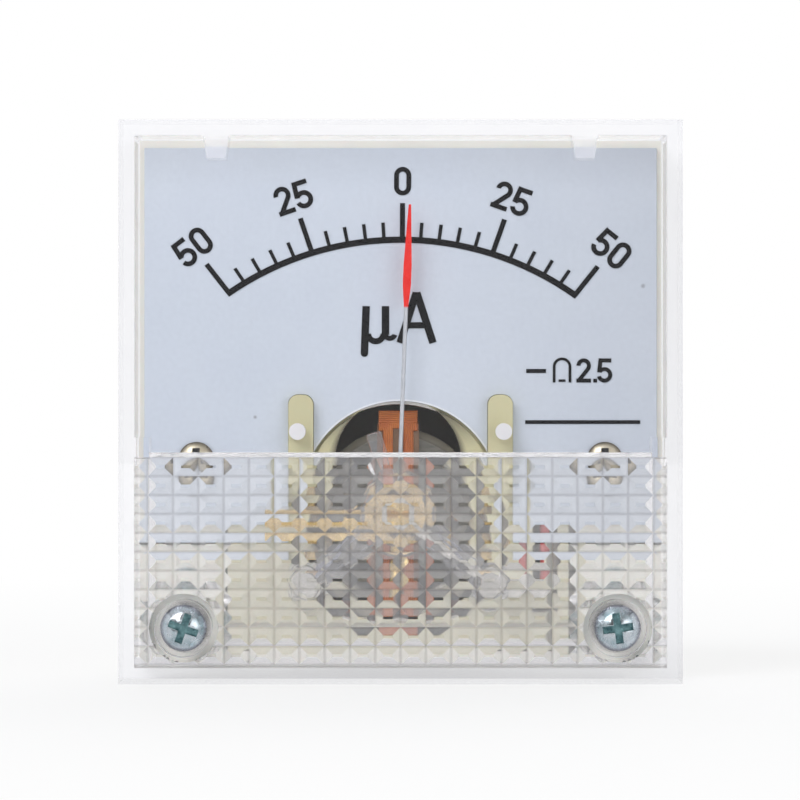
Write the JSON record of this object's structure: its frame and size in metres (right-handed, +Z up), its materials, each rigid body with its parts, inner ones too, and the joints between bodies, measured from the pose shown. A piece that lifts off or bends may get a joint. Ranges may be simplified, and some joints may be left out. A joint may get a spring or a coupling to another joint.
{
  "type": "analog panel meter",
  "caption": "Square centre-zero moving-coil panel meter with a clear cover, prismatic lower band, round rear barrel, studs and terminals",
  "frame": {"origin": "middle of the mounting plane, where the rear of the square flange lies against the panel", "axes": "+X is the viewer's right, +Z is up, the dial faces -Y and the barrel, studs and terminals point along +Y"},
  "size_m": [0.045, 0.0365, 0.045],
  "materials": {
    "clear_cover": "clear polystyrene, polished, with a prismatic lower band",
    "clear_bridge": "clear plastic, slightly milky",
    "cream_abs": "cream moulded plastic, satin",
    "ivory_abs": "ivory moulded plastic, satin",
    "white_sleeve": "white nylon",
    "dial_paint": "pale blue-grey paint on aluminium, satin",
    "black_ink": "black printing ink",
    "aged_nickel": "nickel plated steel, dull and brownish",
    "nickel_plate": "nickel plated steel, bright",
    "blue_zinc": "blue zinc plated steel",
    "magnet_alloy": "ground magnet alloy",
    "bright_brass": "brass",
    "spring_bronze": "phosphor bronze ribbon",
    "copper_winding": "enamelled copper wire, close wound",
    "former_aluminium": "thin aluminium",
    "polished_steel": "polished hardened steel",
    "pointer_paint": "silver shaft with a red painted lance",
    "ruby": "synthetic ruby",
    "red_insulation": "red insulation",
    "black_insulation": "black insulation"
  },
  "bodies": {
    "case": {"front_cover": "clear_cover", "rear_case": "ivory_abs", "panel_studs": "nickel_plate", "cover_screws": "blue_zinc", "dial_plate": "dial_paint", "dial_print": "black_ink", "dial_screws": "aged_nickel", "movement_frame": "cream_abs", "frame_screws": "nickel_plate", "stop_pins": "white_sleeve", "yoke_ring": "nickel_plate", "core_magnet": "magnet_alloy", "core_holders": "bright_brass", "front_bridge": "clear_bridge", "bridge_screws": "nickel_plate", "front_contact": "nickel_plate", "contact_strip": "nickel_plate", "front_jewel_screw": "bright_brass", "front_jewel": "ruby", "rear_bridge": "bright_brass", "rear_bridge_screws": "nickel_plate", "rear_jewel_screw": "bright_brass", "rear_jewel": "ruby", "rear_hairspring": "spring_bronze", "rear_contact": "bright_brass", "terminal_studs": "bright_brass", "terminal_washers": "nickel_plate", "terminal_tags": "nickel_plate", "terminal_lock_washers": "nickel_plate", "terminal_nuts": "bright_brass", "front_lead": "red_insulation", "rear_lead": "black_insulation"},
    "pointer_set": {"coil_former": "former_aluminium", "moving_coil": "copper_winding", "front_staff": "polished_steel", "rear_staff": "polished_steel", "pointer": "pointer_paint", "pointer_hub": "former_aluminium", "balance_weights": "bright_brass"},
    "lever": {"zero_lever": "bright_brass", "front_hairspring": "spring_bronze"}
  },
  "joints": [
    {"name": "pointer_swing", "type": "hinge", "parent": "case", "child": "pointer_set", "pos_m": [-0.0002, -0.0063, -0.009], "axis": [0, 1, 0], "range_deg": [-47.2, 44.3], "stiffness_Nm_per_rad": 0.00001, "deforming": ["rear_hairspring", "front_hairspring"]},
    {"name": "zero_adjust", "type": "hinge", "parent": "case", "child": "lever", "pos_m": [-0.0002, -0.0072, -0.009], "axis": [0, 1, 0], "range_deg": [-10, 10]}
  ]
}
